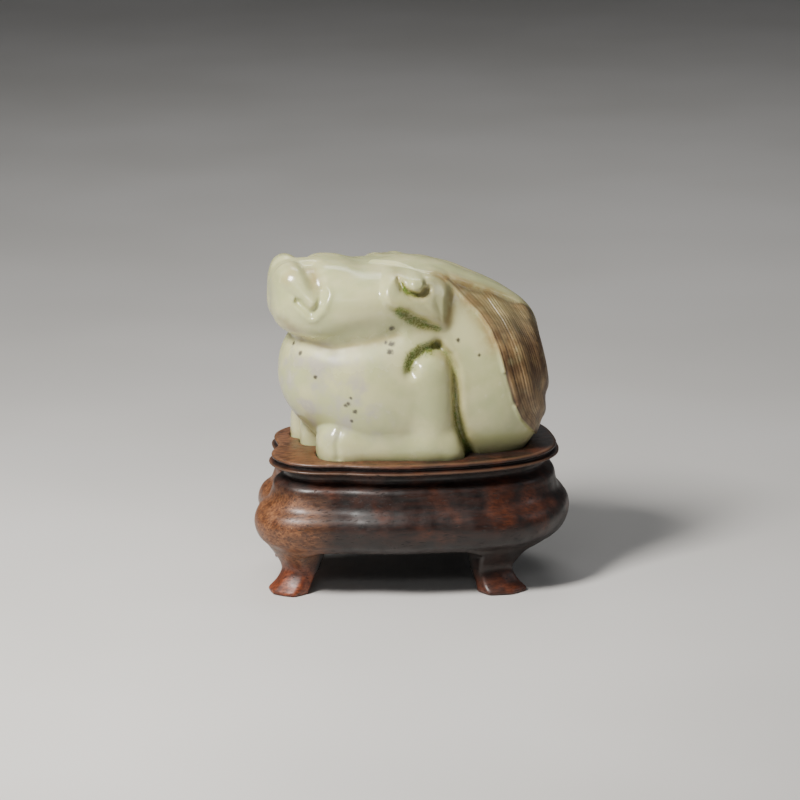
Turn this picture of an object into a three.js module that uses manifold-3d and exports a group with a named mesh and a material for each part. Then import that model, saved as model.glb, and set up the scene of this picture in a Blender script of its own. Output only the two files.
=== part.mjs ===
// A small jade lion, lying with its head raised, on its own carved hardwood stand.
// Millimetres, +Z up, with the head toward -X and the side seen first toward -Y.
// The origin is on the table, under the middle of the stand.
import * as THREE from 'three';
import { mergeVertices } from 'three/addons/utils/BufferGeometryUtils.js';
import Module from 'manifold-3d';

const wasm = await Module();
wasm.setup();

// The lion, whose carving is kept in hundredths of its length
const figureLength = 64;
const figureForward = 0.3;
const hundredth = figureLength / 100;
const figureHalfWidth = 19;
const latticeStep = 6.25 * hundredth;
const recessLatticeStep = 7.5 * hundredth;

// The stand, from the table up
const footHeight = 10.4;
const apronHeight = 14.4;
const waistHeight = 3.8;
const rimThickness = 2.6;
const recessDepth = 1.2;
const seatPlateThickness = 6.5;
const seatClearance = 0.35;

// The stand's plan, round the lion
const rimMarginAtEnds = 1.3;
const rimMarginAtSides = 3.2;
const headLobeRadius = 10.5;
const headLobeSpread = 7;
const farLobeSetback = 2.6;
const headLobeStep = 2.6;
const lobeBlend = 4;

// How far the stand's profile reaches out of the rim's edge, and back inside it
const bulgeOut = 3;
const shoulderIn = 0.5;
const waistIn = 2.8;
const kneeOut = 1.8;
const kneeHalfWidth = 10.5;
const hemOut = 0;
const lowerFilletOut = 0.6;
const grooveIn = 0.7;
const filletHeight = 0.85;
const wallThickness = 5;
const hollowTaper = 4;

// The feet
const toeWidth = 8.8;
const ankleWidth = 8;
const footRootWidth = 16;
const toeFlare = 2.6;
const toeHollowOut = 2.6;
const ankleIn = 1.3;
const ankleShare = 0.5;
const archSteps = 5;
const archOut = toeFlare + 3;
const archIn = wallThickness + 3;

// Heights of the stand's levels
const hemZ = footHeight;
const waistZ = hemZ + apronHeight;
const rimUnderZ = waistZ + waistHeight;
const rimTopZ = rimUnderZ + rimThickness;
const seatZ = rimTopZ - recessDepth;
const hollowTopZ = seatZ - seatPlateThickness;

// Turns a flat list of corners and a list of triangles into a closed mesh
function meshFrom(positions, triangles) {
  const geometry = new THREE.BufferGeometry();
  geometry.setAttribute('position', new THREE.BufferAttribute(new Float32Array(positions), 3));
  geometry.setIndex(triangles);
  return geometry;
}

function solidFrom(geometry) {
  const bare = geometry.clone();
  bare.deleteAttribute('normal');
  bare.deleteAttribute('uv');
  const merged = mergeVertices(bare, 1e-4);
  const index = merged.getIndex();
  const mesh = new wasm.Mesh({
    numProp: 3,
    vertProperties: new Float32Array(merged.getAttribute('position').array),
    triVerts: new Uint32Array(index.array),
  });
  mesh.merge();
  return new wasm.Manifold(mesh);
}

function geometryOf(solid) {
  const mesh = solid.getMesh();
  const geometry = new THREE.BufferGeometry();
  geometry.setAttribute('position', new THREE.BufferAttribute(new Float32Array(mesh.vertProperties), 3));
  geometry.setIndex(Array.from(mesh.triVerts));
  geometry.computeVertexNormals();
  return geometry;
}

function boxBetween(low, high) {
  const box = new THREE.BoxGeometry(high[0] - low[0], high[1] - low[1], high[2] - low[2]);
  box.translate((low[0] + high[0]) / 2, (low[1] + high[1]) / 2, (low[2] + high[2]) / 2);
  return solidFrom(box);
}

// Rounded joins of two distances: the nearer one, and the farther one
function softUnion(a, b, blend) {
  const share = Math.max(blend - Math.abs(a - b), 0) / blend;
  return Math.min(a, b) - share * share * blend / 4;
}

// A smooth step from nought to one between two values, which may also run downward
function easeBetween(low, high, value) {
  const share = Math.min(Math.max((value - low) / (high - low), 0), 1);
  return share * share * (3 - 2 * share);
}

// Distance to a rounded box-like ellipsoid; a power above two squares it off
const coreLevel = 0.05;

function massDistance(point, mass) {
  const power = mass.power ?? 2;
  let sum = 0;
  const shares = [0, 0, 0];
  for (let axis = 0; axis < 3; axis++) {
    shares[axis] = Math.abs(point[axis] - mass.at[axis]) / mass.radii[axis];
    sum += shares[axis] ** power;
  }
  const level = sum ** (1 / power);
  if (level < coreLevel) {
    return -Math.min(...mass.radii);
  }
  let slope = 0;
  for (let axis = 0; axis < 3; axis++) {
    const part = (shares[axis] / level) ** (power - 1) / mass.radii[axis];
    slope += part * part;
  }
  return (level - 1) / Math.sqrt(slope);
}

// Distance to a limb: a line with a thickness at each end
function limbDistance(point, limb) {
  const from = limb.from;
  const along = [0, 1, 2].map((axis) => limb.to[axis] - from[axis]);
  const reach = [0, 1, 2].map((axis) => point[axis] - from[axis]);
  const length2 = along[0] ** 2 + along[1] ** 2 + along[2] ** 2;
  const dot = along[0] * reach[0] + along[1] * reach[1] + along[2] * reach[2];
  const share = Math.min(Math.max(dot / length2, 0), 1);
  const off = [0, 1, 2].map((axis) => reach[axis] - share * along[axis]);
  const thickness = limb.thick[0] + share * (limb.thick[1] - limb.thick[0]);
  return Math.hypot(off[0], off[1], off[2]) - thickness;
}

// Distance in a flat drawing from a point to a line of points
function lineDistance(u, v, line) {
  let nearest = Infinity;
  for (let i = 0; i + 1 < line.length; i++) {
    const du = line[i + 1][0] - line[i][0];
    const dv = line[i + 1][1] - line[i][1];
    const share = ((u - line[i][0]) * du + (v - line[i][1]) * dv) / (du * du + dv * dv);
    const held = Math.min(Math.max(share, 0), 1);
    nearest = Math.min(nearest, Math.hypot(u - line[i][0] - held * du, v - line[i][1] - held * dv));
  }
  return nearest;
}

// The lion's masses in hundredths of its length: x from its middle, z up from its seat.
// A mass of a pair is given on the near side, and its twin lies across the middle.
const torso = { at: [4, 0, 24], radii: [42.2, 26.5, 40.8], power: 2.08 };
const chest = { at: [-22, 0, 29], radii: [25, 23, 23], power: 2.15, blend: 6 };
const rump = { at: [25.5, 0, 25], radii: [20.6, 20, 31], power: 2.3, blend: 5 };
const crestTip = { at: [33.2, -3, 40.5], radii: [10.8, 12, 12], power: 2.2, blend: 4 };
const haunch = { at: [23.5, -9.5, 23], radii: [23.8, 17.5, 29], power: 2.15, blend: 4 };
const flank = { at: [-8, -12, 24], radii: [25, 16.5, 22.6], power: 2.2, blend: 7 };
const cranium = { at: [-15, 0, 56], radii: [29, 25, 11.7], power: 2.45 };
const muzzle = { at: [-35, 0, 57.5], radii: [15, 17, 12], power: 3.5, blend: 5 };
const jowl = { at: [-29, -8, 52.5], radii: [18, 14.5, 11.3], power: 2.2, blend: 5 };
const jawBlend = 2.5;
const napeBlend = 7.5;
const jawEnd = -46;
const napeStart = -14;
const upperArm = { from: [2.8, -20.5, 31], to: [4, -21.5, 8], thick: [8.4, 8.6], blend: 3 };
const forearm = { from: [-24, -16, 5], to: [9, -21.5, 4.5], thick: [8.5, 8.5], blend: 3 };
const nearPaw = { at: [-25, -15, 5], radii: [11, 9.5, 9.8], power: 2.5, blend: 1.5 };
const farToes = [
  { at: [-28.4, 3.2, 4], radii: [10.6, 6, 13], power: 3.2, blend: 1 },
  { at: [-30.8, 12.8, 4], radii: [10.2, 5.4, 13], power: 3.2, blend: 1 },
];

// Carved grooves of the side, drawn as [x, z], each with its depth and half-width
const jawLine = {
  line: [
    [-47, 50], [-43, 46.6], [-39.3, 43.3], [-34.6, 41.8],
    [-30.5, 40.9], [-26, 42], [-14.4, 44], [-9, 46],
  ],
  depth: 0.8,
  width: 3,
};
const behindArm = {
  line: [[6, 41.5], [9.7, 38], [11.6, 33.4], [12, 25.9], [12.3, 18.2], [13.2, 14.1], [15, 7.7], [18.4, 0.3]],
  depth: 2.2,
  width: 3,
};
const overArm = { line: [[-4.4, 33.7], [-3.2, 37.4], [1.5, 40.4], [6, 41.5]], depth: 1.4, width: 2.8 };
const mouth = { line: [[-42.4, 58], [-38.3, 54.2], [-35.4, 57.5], [-33.3, 62.5]], depth: 1.4, width: 2.6 };
const nostril = { line: [[-41, 65.5], [-39.4, 62.2], [-37.4, 59]], depth: 0.8, width: 2.4 };
const earScroll = {
  line: [[-7.4, 65.2], [-6.6, 62.4], [-4, 60.6], [-0.3, 59.9], [2.6, 61.4]],
  depth: 1.5,
  width: 2.2,
};
const sideGrooves = [jawLine, behindArm, overArm, mouth, nostril, earScroll];

// The side's carving starts and is full at these distances from the middle
const sideStart = 6;
const sideFull = 11;

// The ear is a flat lobe, round in front and drawn out to a point behind, with a knob in its scroll
const ear = {
  shapes: [
    { from: [-8, 61.4, 0], to: [-2, 60.9, 0], thick: [5.6, 5.8] },
    { from: [-2, 60.9, 0], to: [4.6, 60.2, 0], thick: [5.8, 6.2] },
    { from: [-2, 60, 0], to: [7.4, 49.8, 0], thick: [5.6, 1.6] },
    { from: [4.6, 60.2, 0], to: [8, 50, 0], thick: [6.2, 1.6] },
  ],
  raised: 2.6,
  edge: 2.2,
};
const earKnob = { at: [-1.5, 64.3], radius: 2.6, raised: 1.4, edge: 1.8 };

// The lock of hair sweeps from under the ear down to the base, a step proud of the haunch
const lock = {
  line: [
    [10.5, 63], [16.9, 56], [21.3, 51.6], [24.6, 46.4], [26.8, 40.2],
    [28, 35.7], [29.6, 28.7], [31.9, 21.1], [35.2, 14.2], [41, 8],
  ],
  raised: 1,
  edge: 2,
  strandPitch: 8,
  strandDepth: 0.45,
};

// The crest is a smooth ribbon along the back, drawn as [x, half its width]: it ends in a point at
// the rump, and its edges stand up as a lip over the lock
const crest = {
  middle: -2,
  halves: [
    [-15, 0], [-6, 5], [0, 12], [4, 13.6], [10, 12.2],
    [20, 9.6], [30, 8], [38, 6.6], [45, 2], [46, 0],
  ],
  raised: 0.9,
  lip: 1,
  lipFrom: 4,
  lipTo: 18,
  lipEnd: 46,
  lipWidth: 6,
  edge: 2,
  low: 42,
  high: 46,
};

function grooveDepth(distance, groove) {
  return groove.depth * Math.exp(-((distance / groove.width) ** 2));
}

// How much of a raised field a point stands in, from its distance outside the field's edge
function raisedShare(distance, edge) {
  return 1 - easeBetween(-edge, edge, distance);
}

// The same distance with a sign: above zero on the left of the line's way
function lineSide(u, v, line) {
  let side = 0;
  let nearest = Infinity;
  for (let i = 0; i + 1 < line.length; i++) {
    const distance = lineDistance(u, v, [line[i], line[i + 1]]);
    if (distance < nearest) {
      const du = line[i + 1][0] - line[i][0];
      const dv = line[i + 1][1] - line[i][1];
      nearest = distance;
      side = Math.sign(du * (v - line[i][1]) - dv * (u - line[i][0]));
    }
  }
  return side * nearest;
}

// Distance outside the crest's edge, seen from above
function crestDistance(x, y) {
  const halves = crest.halves;
  const last = halves.length - 1;
  let half = 0;
  for (let i = 0; i < last; i++) {
    const share = (x - halves[i][0]) / (halves[i + 1][0] - halves[i][0]);
    if (share >= 0 && share <= 1) {
      half = halves[i][1] + share * (halves[i + 1][1] - halves[i][1]);
    }
  }
  return Math.abs(y - crest.middle) - half + Math.max(halves[0][0] - x, x - halves[last][0], 0);
}

function lionHundredths(x, y, z) {
  const point = [x, y, z];
  const paired = [x, -Math.abs(y), z];
  let body = massDistance(point, torso);
  for (const mass of [chest, rump, crestTip]) {
    body = softUnion(body, massDistance(point, mass), mass.blend);
  }
  for (const mass of [haunch, flank]) {
    body = softUnion(body, massDistance(paired, mass), mass.blend);
  }
  let head = massDistance(point, cranium);
  head = softUnion(head, massDistance(point, muzzle), muzzle.blend);
  head = softUnion(head, massDistance(paired, jowl), jowl.blend);
  const neckBlend = jawBlend + (napeBlend - jawBlend) * easeBetween(jawEnd, napeStart, x);
  body = softUnion(body, head, neckBlend);
  for (const limb of [upperArm, forearm]) {
    body = softUnion(body, limbDistance(paired, limb), limb.blend);
  }
  body = softUnion(body, massDistance(point, nearPaw), nearPaw.blend);
  for (const toe of farToes) {
    body = softUnion(body, massDistance(point, toe), toe.blend);
  }

  // The side's carving fades out toward the middle of the back and chest
  const onSide = easeBetween(sideStart, sideFull, Math.abs(y));
  for (const groove of sideGrooves) {
    body += onSide * grooveDepth(lineDistance(x, z, groove.line), groove);
  }
  let earEdge = Infinity;
  for (const shape of ear.shapes) {
    earEdge = Math.min(earEdge, limbDistance([x, z, 0], shape));
  }
  const knobEdge = Math.hypot(x - earKnob.at[0], z - earKnob.at[1]) - earKnob.radius;
  body -= onSide * ear.raised * raisedShare(earEdge, ear.edge);
  body -= onSide * earKnob.raised * raisedShare(knobEdge, earKnob.edge);

  const inLock = lineSide(x, z, lock.line);
  const strand = 1 - Math.cos(2 * Math.PI * inLock / lock.strandPitch);
  const lockRaised = lock.raised - lock.strandDepth * strand * easeBetween(0, lock.strandPitch, inLock);
  const crestEdge = crestDistance(x, y);
  const crestIn = raisedShare(crestEdge, crest.edge) * easeBetween(crest.low, crest.high, z);
  const alongLip = easeBetween(crest.lipFrom, crest.lipTo, x) * easeBetween(crest.lipEnd, crest.lipTo, x);
  const lip = crest.lip * alongLip * easeBetween(-crest.lipWidth, 0, crestEdge);
  body -= lockRaised * (1 - raisedShare(inLock, lock.edge)) * (1 - crestIn);
  body -= (crest.raised + lip) * crestIn;
  return body;
}

function lionDistance(x, y, z) {
  return hundredth * lionHundredths(x / hundredth, y / hundredth, z / hundredth);
}

// A crossing keeps this share of its edge clear of the edge's ends
const crossingMargin = 0.06;

// Draws the surface where a distance is zero, on a body-centred lattice of tetrahedra
function surfaceOf(distance, low, high, step) {
  const counts = [0, 1, 2].map((axis) => Math.ceil((high[axis] - low[axis]) / step) + 1);
  const layer = counts[0] * counts[1];
  const centreStart = layer * counts[2];
  const values = new Float64Array(2 * centreStart);
  const place = (id) => {
    const centred = id >= centreStart;
    const rest = centred ? id - centreStart : id;
    const shift = centred ? 0.5 : 0;
    const i = rest % counts[0];
    const j = Math.floor(rest / counts[0]) % counts[1];
    const k = Math.floor(rest / layer);
    return [low[0] + (i + shift) * step, low[1] + (j + shift) * step, low[2] + (k + shift) * step];
  };
  for (let id = 0; id < values.length; id++) {
    values[id] = distance(...place(id));
  }
  const corner = (i, j, k) => i + j * counts[0] + k * layer;
  const positions = [];
  const crossings = new Map();
  const crossing = (a, b) => {
    const first = Math.min(a, b);
    const second = Math.max(a, b);
    const key = first * values.length + second;
    if (!crossings.has(key)) {
      const crossed = values[first] / (values[first] - values[second]);
      const share = Math.min(Math.max(crossed, crossingMargin), 1 - crossingMargin);
      const from = place(first);
      const to = place(second);
      crossings.set(key, positions.length / 3);
      positions.push(...from.map((value, axis) => value + share * (to[axis] - value)));
    }
    return crossings.get(key);
  };
  const triangles = [];
  const addTriangle = (a, b, c, inside, outside) => {
    const [pa, pb, pc] = [a, b, c].map((v) => new THREE.Vector3().fromArray(positions, 3 * v));
    const normal = pb.clone().sub(pa).cross(pc.clone().sub(pa));
    const outward = new THREE.Vector3(...place(outside)).sub(new THREE.Vector3(...place(inside)));
    if (normal.dot(outward) >= 0) {
      triangles.push(a, b, c);
    } else {
      triangles.push(a, c, b);
    }
  };
  const addTetrahedron = (ids) => {
    const inside = ids.filter((id) => values[id] < 0);
    const outside = ids.filter((id) => values[id] >= 0);
    if (inside.length === 1) {
      const corners = outside.map((id) => crossing(inside[0], id));
      addTriangle(...corners, inside[0], outside[0]);
    } else if (inside.length === 3) {
      const corners = inside.map((id) => crossing(id, outside[0]));
      addTriangle(...corners, inside[0], outside[0]);
    } else if (inside.length === 2) {
      const quad = [
        crossing(inside[0], outside[0]),
        crossing(inside[0], outside[1]),
        crossing(inside[1], outside[1]),
        crossing(inside[1], outside[0]),
      ];
      addTriangle(quad[0], quad[1], quad[2], inside[0], outside[0]);
      addTriangle(quad[0], quad[2], quad[3], inside[0], outside[0]);
    }
  };
  const ways = [[1, 0, 0], [0, 1, 0], [0, 0, 1]];
  for (let k = 0; k + 1 < counts[2]; k++) {
    for (let j = 0; j + 1 < counts[1]; j++) {
      for (let i = 0; i + 1 < counts[0]; i++) {
        const here = centreStart + corner(i, j, k);
        for (const [axis, way] of ways.entries()) {
          const next = [i + way[0], j + way[1], k + way[2]];
          if (next[axis] + 1 >= counts[axis]) {
            continue;
          }
          const there = centreStart + corner(...next);
          const u = ways[(axis + 1) % 3];
          const v = ways[(axis + 2) % 3];
          const face = [[0, 0], [1, 0], [1, 1], [0, 1]].map(([s, t]) => corner(
            next[0] + s * u[0] + t * v[0],
            next[1] + s * u[1] + t * v[1],
            next[2] + s * u[2] + t * v[2],
          ));
          for (let edge = 0; edge < 4; edge++) {
            addTetrahedron([here, there, face[edge], face[(edge + 1) % 4]]);
          }
        }
      }
    }
  }
  return { positions, triangles };
}

// Evens out the triangles and settles their corners back on the surface
function settle(surface, distance, rounds) {
  const { positions, triangles } = surface;
  const count = positions.length / 3;
  const nudge = 0.02;
  for (let round = 0; round < rounds; round++) {
    const sums = new Float64Array(3 * count);
    const weights = new Float64Array(count);
    for (let t = 0; t < triangles.length; t += 3) {
      for (let side = 0; side < 3; side++) {
        const a = triangles[t + side];
        const b = triangles[t + (side + 1) % 3];
        for (let axis = 0; axis < 3; axis++) {
          sums[3 * a + axis] += positions[3 * b + axis];
        }
        weights[a] += 1;
      }
    }
    for (let v = 0; v < count; v++) {
      let point = [0, 1, 2].map((axis) => {
        const around = sums[3 * v + axis] / weights[v];
        return 0.5 * (positions[3 * v + axis] + around);
      });
      for (let pass = 0; pass < 2; pass++) {
        const value = distance(...point);
        const slope = [0, 1, 2].map((axis) => {
          const ahead = [...point];
          ahead[axis] += nudge;
          return (distance(...ahead) - value) / nudge;
        });
        const steepness = Math.max(slope[0] ** 2 + slope[1] ** 2 + slope[2] ** 2, 0.25);
        point = point.map((coordinate, axis) => coordinate - value * slope[axis] / steepness);
      }
      for (let axis = 0; axis < 3; axis++) {
        positions[3 * v + axis] = point[axis];
      }
    }
  }
  return surface;
}

// The lion's reach in hundredths; its lattice runs two steps past it on every side
const figureLow = [-51, -32, -4];
const figureHigh = [51, 32, 71];

function lionSolid(step, grown) {
  const low = figureLow.map((share) => share * hundredth);
  const high = figureHigh.map((share) => share * hundredth);
  const distance = (x, y, z) => Math.max(lionDistance(x, y, z) - grown, low[2] - z);
  const surface = surfaceOf(
    distance,
    low.map((value) => value - 2 * step),
    high.map((value) => value + 2 * step),
    step,
  );
  const settled = settle(surface, distance, 3);
  const above = boxBetween(
    [2 * low[0], 2 * low[1], 0],
    high.map((value) => 2 * value),
  );
  return solidFrom(meshFrom(settled.positions, settled.triangles))
    .intersect(above)
    .translate([-figureForward, 0, seatZ]);
}

// The stand's plan: distance outward from the rim's edge
const planSides = 56;
const figureHalfLength = figureLength / 2;
const rimHalfLength = figureHalfLength + rimMarginAtEnds;
const rimHalfWidth = figureHalfWidth + rimMarginAtSides;
const ovalHalfLength = rimHalfLength - headLobeStep;
const oval = { centre: rimHalfLength - ovalHalfLength, power: 2.6 };
const lobes = [
  { x: -rimHalfLength + headLobeRadius, y: -headLobeSpread },
  { x: -rimHalfLength + headLobeRadius + farLobeSetback, y: headLobeSpread },
];

function planDistance(x, y) {
  const shareX = Math.abs(x - oval.centre) / ovalHalfLength;
  const shareY = Math.abs(y) / rimHalfWidth;
  const level = Math.max((shareX ** oval.power + shareY ** oval.power) ** (1 / oval.power), 1e-3);
  const slopeX = (shareX / level) ** (oval.power - 1) / ovalHalfLength;
  const slopeY = (shareY / level) ** (oval.power - 1) / rimHalfWidth;
  let distance = (level - 1) / Math.hypot(slopeX, slopeY);
  for (const lobe of lobes) {
    distance = softUnion(distance, Math.hypot(x - lobe.x, y - lobe.y) - headLobeRadius, lobeBlend);
  }
  return distance;
}

// How far the stand reaches from its middle, in a direction, at an offset from the rim's edge
function planReach(angle, offset) {
  let near = 0;
  let far = 2 * rimHalfLength;
  for (let pass = 0; pass < 40; pass++) {
    const middle = (near + far) / 2;
    if (planDistance(middle * Math.cos(angle), middle * Math.sin(angle)) < offset) {
      near = middle;
    } else {
      far = middle;
    }
  }
  return near;
}

// Joins rings of corners, from the lowest up, into a closed skin with a flat lid at each end
function closedLoft(rings) {
  const sides = rings[0].length;
  const positions = rings.flat(2);
  const triangles = [];
  for (let row = 0; row + 1 < rings.length; row++) {
    for (let side = 0; side < sides; side++) {
      const a = row * sides + side;
      const b = row * sides + (side + 1) % sides;
      triangles.push(a, b, b + sides, a, b + sides, a + sides);
    }
  }
  for (const row of [0, rings.length - 1]) {
    const outline = rings[row].map((corner) => new THREE.Vector2(corner[0], corner[1]));
    for (const [a, b, c] of THREE.ShapeUtils.triangulateShape(outline, [])) {
      const start = row * sides;
      triangles.push(start + a, start + (row > 0 ? b : c), start + (row > 0 ? c : b));
    }
  }
  return solidFrom(meshFrom(positions, triangles));
}

// The feet stand at the corners of the plan, in directions turned from +X
const degree = Math.PI / 180;
const footAngles = [-158, -50, 50, 147].map((turn) => turn * degree);

// How much of a foot's knee a direction has: one over a foot, fading out to each side of it
function kneeShare(angle) {
  const turns = footAngles.map((foot) => {
    const turn = Math.abs(Math.atan2(Math.sin(angle - foot), Math.cos(angle - foot)));
    return turn * planReach(angle, 0) / kneeHalfWidth;
  });
  return Math.exp(-(Math.min(...turns) ** 2));
}

// Lofts a closed solid through levels of the plan, each with a height, an offset and a knee
function planLoft(levels) {
  const sides = [...Array(planSides).keys()];
  return closedLoft(levels.map((level) => sides.map((side) => {
    const angle = 2 * Math.PI * (side + 0.5) / planSides;
    const reach = planReach(angle, level.out + (level.knee ?? 0) * kneeShare(angle));
    return [reach * Math.cos(angle), reach * Math.sin(angle), level.z];
  })));
}

// The apron's profile: how far out, as a share of the bulge, at each share of its height
const apronProfile = [[0.16, 0.7], [0.38, 1], [0.56, 0.84], [0.7, 0.24], [0.86, 0]];

// The outside profile: toe, ankle and hem, then bulge, shoulder and waist, then the two fillets
function outerLevels() {
  const body = new THREE.SplineCurve([
    new THREE.Vector2(hemOut, hemZ),
    ...apronProfile.map(([up, out]) => new THREE.Vector2(out * bulgeOut, hemZ + up * apronHeight)),
    new THREE.Vector2(-shoulderIn, waistZ),
    new THREE.Vector2(-waistIn, waistZ + 0.45 * waistHeight),
    new THREE.Vector2(-waistIn * 0.8, rimUnderZ),
  ]);
  return [
    { out: toeFlare, z: 0 },
    { out: toeFlare, z: 0.09 * footHeight },
    { out: 0.3 * toeFlare, z: 0.24 * footHeight },
    { out: -ankleIn, z: ankleShare * footHeight },
    { out: -0.8 * ankleIn, z: 0.8 * footHeight, knee: 0.4 * kneeOut },
    ...body.getPoints(8).map((point) => ({
      out: point.x,
      z: point.y,
      knee: kneeOut * easeBetween(waistZ, hemZ + 0.28 * apronHeight, point.y),
    })),
    { out: lowerFilletOut, z: rimUnderZ + 0.3 * filletHeight },
    { out: lowerFilletOut, z: rimUnderZ + filletHeight },
    { out: -grooveIn, z: rimUnderZ + 1.3 * filletHeight },
    { out: -grooveIn, z: rimTopZ - 1.2 * filletHeight },
    { out: 0, z: rimTopZ - filletHeight },
    { out: 0, z: rimTopZ - 0.3 * filletHeight },
    { out: -0.4 * filletHeight, z: rimTopZ },
  ];
}

function hollowLevels() {
  const wallIn = hemOut - wallThickness;
  return [
    { out: wallIn + toeHollowOut, z: -1 },
    { out: wallIn + toeHollowOut, z: 0.09 * footHeight },
    { out: wallIn, z: ankleShare * footHeight },
    { out: wallIn, z: hemZ + 0.5 * (hollowTopZ - hemZ) },
    { out: wallIn - 0.35 * hollowTaper, z: hemZ + 0.85 * (hollowTopZ - hemZ) },
    { out: wallIn - hollowTaper, z: hollowTopZ },
  ];
}

// How wide a foot is along the wall, from its toe up to where it springs from the apron
const footWidths = [
  { z: -1, width: toeWidth },
  { z: 0.09 * footHeight, width: toeWidth },
  { z: 0.24 * footHeight, width: 0.4 * toeWidth + 0.6 * ankleWidth },
  { z: ankleShare * footHeight, width: ankleWidth },
  { z: 0.78 * footHeight, width: 0.8 * ankleWidth + 0.2 * footRootWidth },
  { z: 0.88 * footHeight, width: 0.7 * ankleWidth + 0.3 * footRootWidth },
  { z: hemZ, width: footRootWidth },
];

// The gap that is cut through the wall between one foot and the next
function archSolid(fromFoot, toFoot) {
  const steps = [...Array(archSteps + 1).keys()];
  return closedLoft(footWidths.map((level) => {
    const from = fromFoot + 0.5 * level.width / planReach(fromFoot, 0);
    const to = toFoot - 0.5 * level.width / planReach(toFoot, 0);
    const arc = (offset) => steps.map((step) => {
      const angle = from + (to - from) * step / archSteps;
      const reach = planReach(angle, offset);
      return [reach * Math.cos(angle), reach * Math.sin(angle), level.z];
    });
    return [...arc(archOut), ...arc(-archIn).reverse()];
  }));
}

function standSolid() {
  let stand = planLoft(outerLevels()).subtract(planLoft(hollowLevels()));
  for (const [index, angle] of footAngles.entries()) {
    const next = footAngles[(index + 1) % footAngles.length];
    stand = stand.subtract(archSolid(angle, next > angle ? next : next + 2 * Math.PI));
  }
  const socketTop = boxBetween([-figureLength, -figureLength, 0], [figureLength, figureLength, rimTopZ + 1]);
  return stand.subtract(lionSolid(recessLatticeStep, seatClearance).intersect(socketTop));
}

const part = new THREE.Group();

function addPart(name, solid, material) {
  const mesh = new THREE.Mesh(geometryOf(solid), material);
  mesh.name = name;
  part.add(mesh);
}

const jade = new THREE.MeshStandardMaterial({ color: 0xcfcfb6, roughness: 0.25, metalness: 0 });
const wood = new THREE.MeshStandardMaterial({ color: 0x4a261a, roughness: 0.4, metalness: 0 });
addPart('jade_lion', lionSolid(latticeStep, 0), jade);
addPart('wood_stand', standSolid(), wood);

// The whole is set so that the middle of its box lies over the origin
const reach = new THREE.Box3().setFromObject(part);
part.position.x = -0.5 * (reach.min.x + reach.max.x);

export default part;
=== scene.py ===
# The looks of a small jade lion on its carved hardwood stand.
# Both pieces are drawn from the same masses and profiles as the solids, with finer carving and wear.
import math

import bpy
import numpy as np
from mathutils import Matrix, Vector, noise


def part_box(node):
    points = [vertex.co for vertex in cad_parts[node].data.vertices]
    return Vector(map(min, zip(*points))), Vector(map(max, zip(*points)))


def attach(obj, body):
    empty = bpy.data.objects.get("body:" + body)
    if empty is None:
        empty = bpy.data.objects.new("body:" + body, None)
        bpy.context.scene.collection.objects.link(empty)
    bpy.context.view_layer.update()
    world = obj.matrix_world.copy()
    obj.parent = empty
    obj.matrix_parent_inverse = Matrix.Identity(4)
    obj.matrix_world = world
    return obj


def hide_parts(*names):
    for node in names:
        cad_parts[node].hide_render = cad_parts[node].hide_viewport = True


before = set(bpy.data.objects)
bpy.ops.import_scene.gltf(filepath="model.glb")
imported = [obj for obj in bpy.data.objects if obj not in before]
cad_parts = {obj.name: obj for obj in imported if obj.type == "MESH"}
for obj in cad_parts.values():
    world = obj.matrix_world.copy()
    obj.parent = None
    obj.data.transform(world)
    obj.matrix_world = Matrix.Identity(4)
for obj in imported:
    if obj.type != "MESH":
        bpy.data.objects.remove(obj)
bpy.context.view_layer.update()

MM = 0.001

# The lion's carving is kept in hundredths of its length, and the stand in millimetres
FIGURE_LENGTH = 64.0
HUNDREDTH = FIGURE_LENGTH / 100
FIGURE_FORWARD = 0.3
SEAT_CLEARANCE = 0.35
LION_STEP = 0.45
STAND_STEP = 0.5
RIM_STEP = 0.21
QUICK_FACTOR = 1.0


# Rounded joins of distances, and other shape helpers that work on whole grids at once
def soft_union(a, b, blend):
    share = np.maximum(blend - np.abs(a - b), 0) / blend
    return np.minimum(a, b) - share * share * blend / 4


def soft_cut(a, b, blend):
    return -soft_union(-a, -b, blend)


def ease(low, high, value):
    share = np.clip((value - low) / (high - low), 0, 1)
    return share * share * (3 - 2 * share)


def band(value, middle, width):
    """One in the middle of a soft band, and nearly nothing two widths away"""
    return np.exp(-(((value - middle) / width) ** 2))


def raised_share(distance, edge):
    return 1 - ease(-edge, edge, distance)


def mass_distance(x, y, z, at, radii, power=2.0):
    shares = [np.abs(v - middle) / radius + 1e-9 for v, middle, radius in zip((x, y, z), at, radii)]
    level = np.maximum(sum(share**power for share in shares), 0.05**power) ** (1 / power)
    slope = sum((share ** (power - 1) / radius) ** 2 for share, radius in zip(shares, radii))
    return (level - 1) * level ** (power - 1) / np.sqrt(slope)


def limb_distance(x, y, z, start, end, thick):
    along = [b - a for a, b in zip(start, end)]
    reach = [v - a for v, a in zip((x, y, z), start)]
    share = sum(r * d for r, d in zip(reach, along)) / sum(d * d for d in along)
    share = np.clip(share, 0, 1)
    off = sum((r - share * d) ** 2 for r, d in zip(reach, along))
    return np.sqrt(off) - thick[0] - share * (thick[1] - thick[0])


def line_distance(u, v, line):
    """Distance to a line of points, and the same distance with a sign: above zero to its right"""
    nearest = np.full(np.broadcast(u, v).shape, np.inf)
    signed = np.zeros_like(nearest)
    for (u0, v0), (u1, v1) in zip(line, line[1:]):
        du, dv = u1 - u0, v1 - v0
        share = np.clip(((u - u0) * du + (v - v0) * dv) / (du * du + dv * dv), 0, 1)
        distance = np.hypot(u - u0 - share * du, v - v0 - share * dv)
        side = np.sign(du * (v - v0) - dv * (u - u0))
        closer = distance < nearest
        nearest = np.where(closer, distance, nearest)
        signed = np.where(closer, side * distance, signed)
    return nearest, signed


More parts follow.
